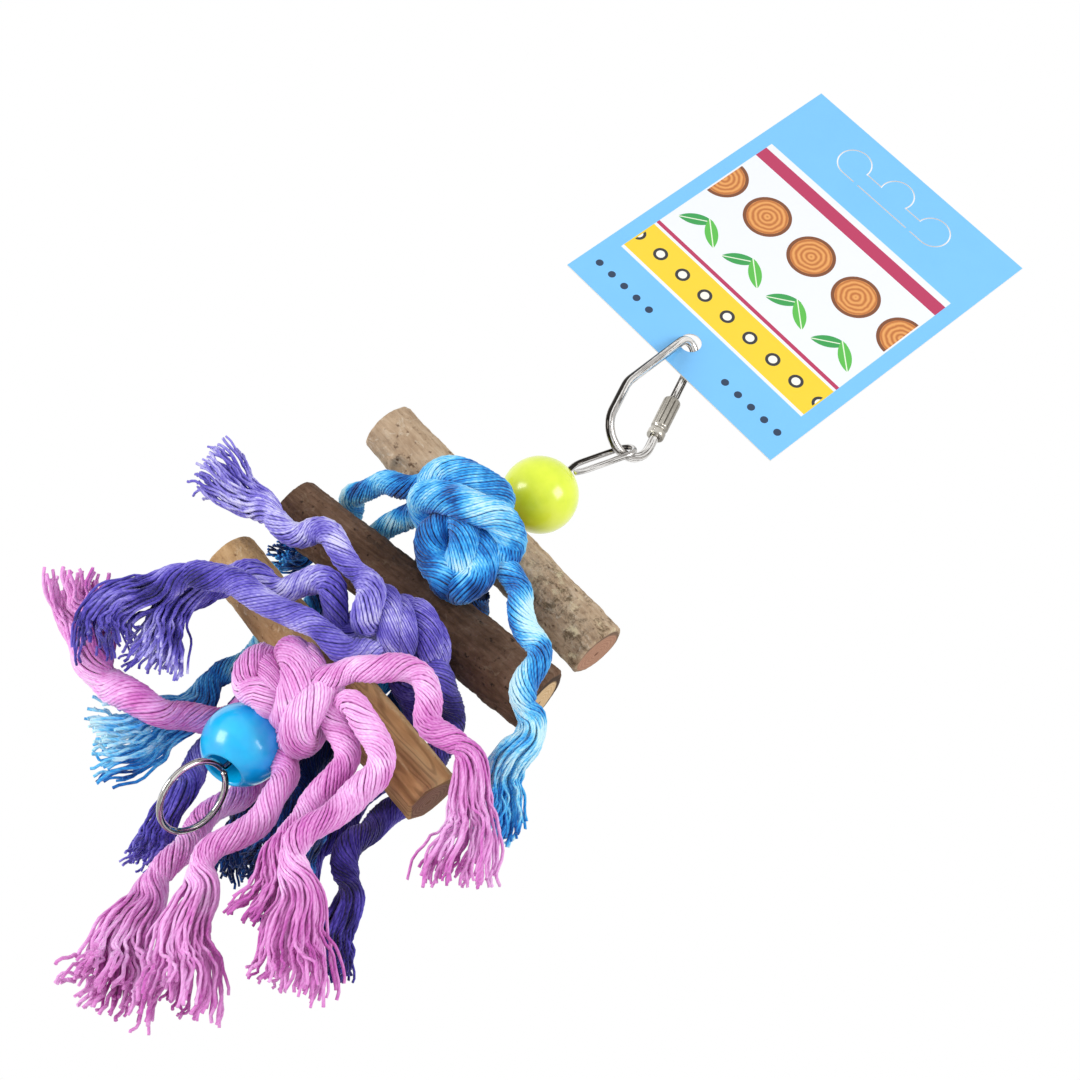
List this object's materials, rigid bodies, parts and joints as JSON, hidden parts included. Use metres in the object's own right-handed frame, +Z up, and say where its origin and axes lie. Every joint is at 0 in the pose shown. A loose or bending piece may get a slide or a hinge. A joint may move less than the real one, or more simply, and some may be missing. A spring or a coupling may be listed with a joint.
{
  "type": "bird toy",
  "caption": "Hanging parrot chew toy: bark twigs, round beads and knotted cotton rope with unlaid strands stacked on a wire stem, below a quick link and a header card.",
  "frame": {"origin": "middle of the hang slot's end-lobe line, on the middle plane of the card", "axes": "+Z up as it hangs, -Y out of the card's printed front towards the viewer, +X to the viewer's right"},
  "size_m": [0.127, 0.0539, 0.3245],
  "materials": {
    "card_print": "glossy print",
    "link_steel": "zinc plated, smooth",
    "sleeve_steel": "zinc plated, fluted",
    "stem_steel": "bright drawn wire",
    "green_bead": "glossy",
    "blue_bead": "glossy",
    "grey_bark": "natural bark, dry",
    "dark_bark": "natural bark, dry",
    "carved_wood": "peeled and knife cut",
    "blue_rope": "dyed cotton, matte",
    "purple_rope": "dyed cotton, matte",
    "pink_rope": "dyed cotton, matte"
  },
  "bodies": {
    "card": {"header_card": "card_print"},
    "link": {"quick_link": "link_steel"},
    "sleeve": {"link_sleeve": "sleeve_steel"},
    "stem": {"stem_wire": "stem_steel", "blue_knot": "blue_rope", "purple_knot": "purple_rope", "pink_knot": "pink_rope", "blue_strand_1": "blue_rope", "blue_strand_2": "blue_rope", "blue_strand_3": "blue_rope", "blue_strand_4": "blue_rope", "blue_strand_5": "blue_rope", "blue_strand_6": "blue_rope", "purple_strand_1": "purple_rope", "purple_strand_2": "purple_rope", "purple_strand_3": "purple_rope", "purple_strand_4": "purple_rope", "purple_strand_5": "purple_rope", "purple_strand_6": "purple_rope", "pink_strand_1": "pink_rope", "pink_strand_2": "pink_rope", "pink_strand_3": "pink_rope", "pink_strand_4": "pink_rope", "pink_strand_5": "pink_rope", "pink_strand_6": "pink_rope"},
    "green_bead": {"top_bead": "green_bead"},
    "blue_bead": {"bottom_bead": "blue_bead"},
    "twig_a": {"upper_twig": "grey_bark"},
    "twig_b": {"middle_twig": "dark_bark"},
    "twig_c": {"lower_twig": "carved_wood"}
  },
  "joints": [
    {"name": "link_swing", "type": "hinge", "parent": "card", "child": "link", "pos_m": [-0.00558, 0, -0.07981], "axis": [0, 1, 0], "range_deg": [-15, 15]},
    {"name": "sleeve_travel", "type": "slide", "parent": "link", "child": "sleeve", "axis": [-0.3486, 0, 0.9373], "range_m": [0, 0.006]},
    {"name": "stem_swing", "type": "hinge", "parent": "link", "child": "stem", "pos_m": [0.00623, -0.0024, -0.11977], "axis": [0.6849, 0.6403, 0.3477], "range_deg": [-12, 12]},
    {"name": "green_bead_spin", "type": "hinge", "parent": "stem", "child": "green_bead", "pos_m": [0.00062, -0.0024, -0.14438], "axis": [0, 0, 1], "continuous": true},
    {"name": "blue_bead_spin", "type": "hinge", "parent": "stem", "child": "blue_bead", "pos_m": [0.00062, -0.0024, -0.24418], "axis": [-0.2767, 0.201, 0.9397], "continuous": true},
    {"name": "upper_twig_turn", "type": "hinge", "parent": "stem", "child": "twig_a", "pos_m": [0.00062, -0.0024, -0.16218], "axis": [0, 0, 1], "range_deg": [-4, 4]},
    {"name": "middle_twig_turn", "type": "hinge", "parent": "stem", "child": "twig_b", "pos_m": [0.00062, -0.0024, -0.18878], "axis": [0, 0, 1], "range_deg": [-4, 4]},
    {"name": "lower_twig_turn", "type": "hinge", "parent": "stem", "child": "twig_c", "pos_m": [0.00062, -0.0024, -0.21798], "axis": [0, 0, 1], "range_deg": [-4, 4]}
  ]
}
